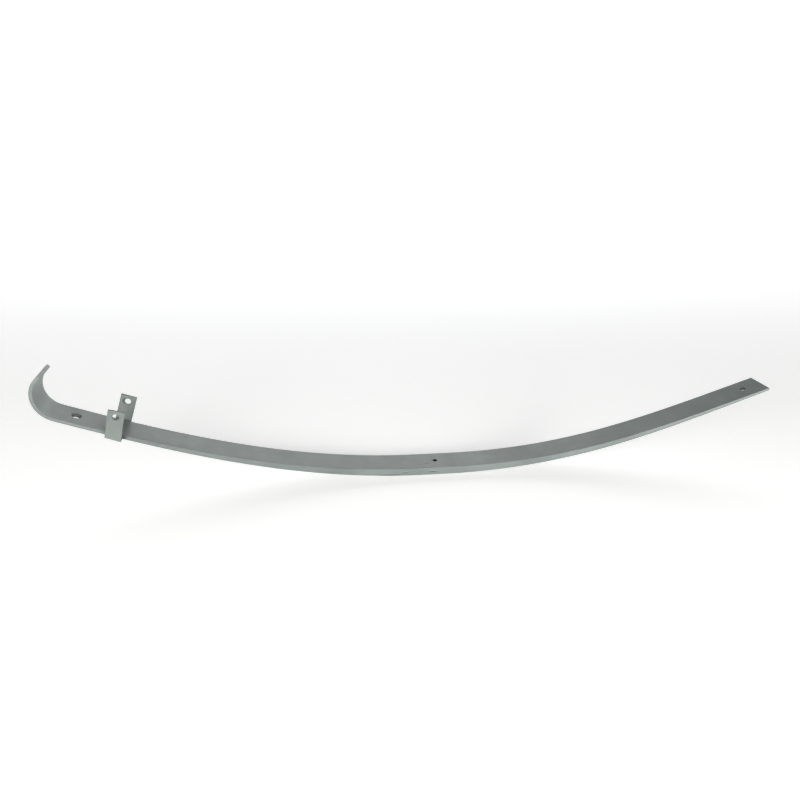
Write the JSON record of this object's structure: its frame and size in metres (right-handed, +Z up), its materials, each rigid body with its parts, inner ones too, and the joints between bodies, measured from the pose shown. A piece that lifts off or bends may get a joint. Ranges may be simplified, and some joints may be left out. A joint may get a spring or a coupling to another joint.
{
  "type": "leaf spring",
  "caption": "Bowed, tapered spring leaf with an open hook at one end, a square-cut other end, a flat drilled seat and a U-shaped rebound clip riveted under one arm.",
  "frame": {"origin": "on the axis of the centre-bolt hole, in the flat underside of the seat, the lowest face of the part", "axes": "+X along the leaf towards its square-cut end, +Y across its width, +Z up, away from the axle and square to the seat"},
  "size_m": [1.692, 0.0927, 0.2718],
  "materials": {
    "leaf_paint": "semi-gloss grey paint over rolled spring steel",
    "clip_paint": "semi-gloss grey paint over mild steel strap",
    "rivet_paint": "semi-gloss grey paint over a steel rivet"
  },
  "bodies": {
    "leaf": {"spring_leaf": "leaf_paint", "clip_rivet": "rivet_paint"},
    "clip": {"rebound_clip": "clip_paint"}
  },
  "joints": [
    {"name": "clip_swivel", "type": "hinge", "parent": "leaf", "child": "clip", "pos_m": [-0.70364, 0, 0.13156], "axis": [0.3332, 0, 0.9429], "range_deg": [-12, 18]}
  ]
}
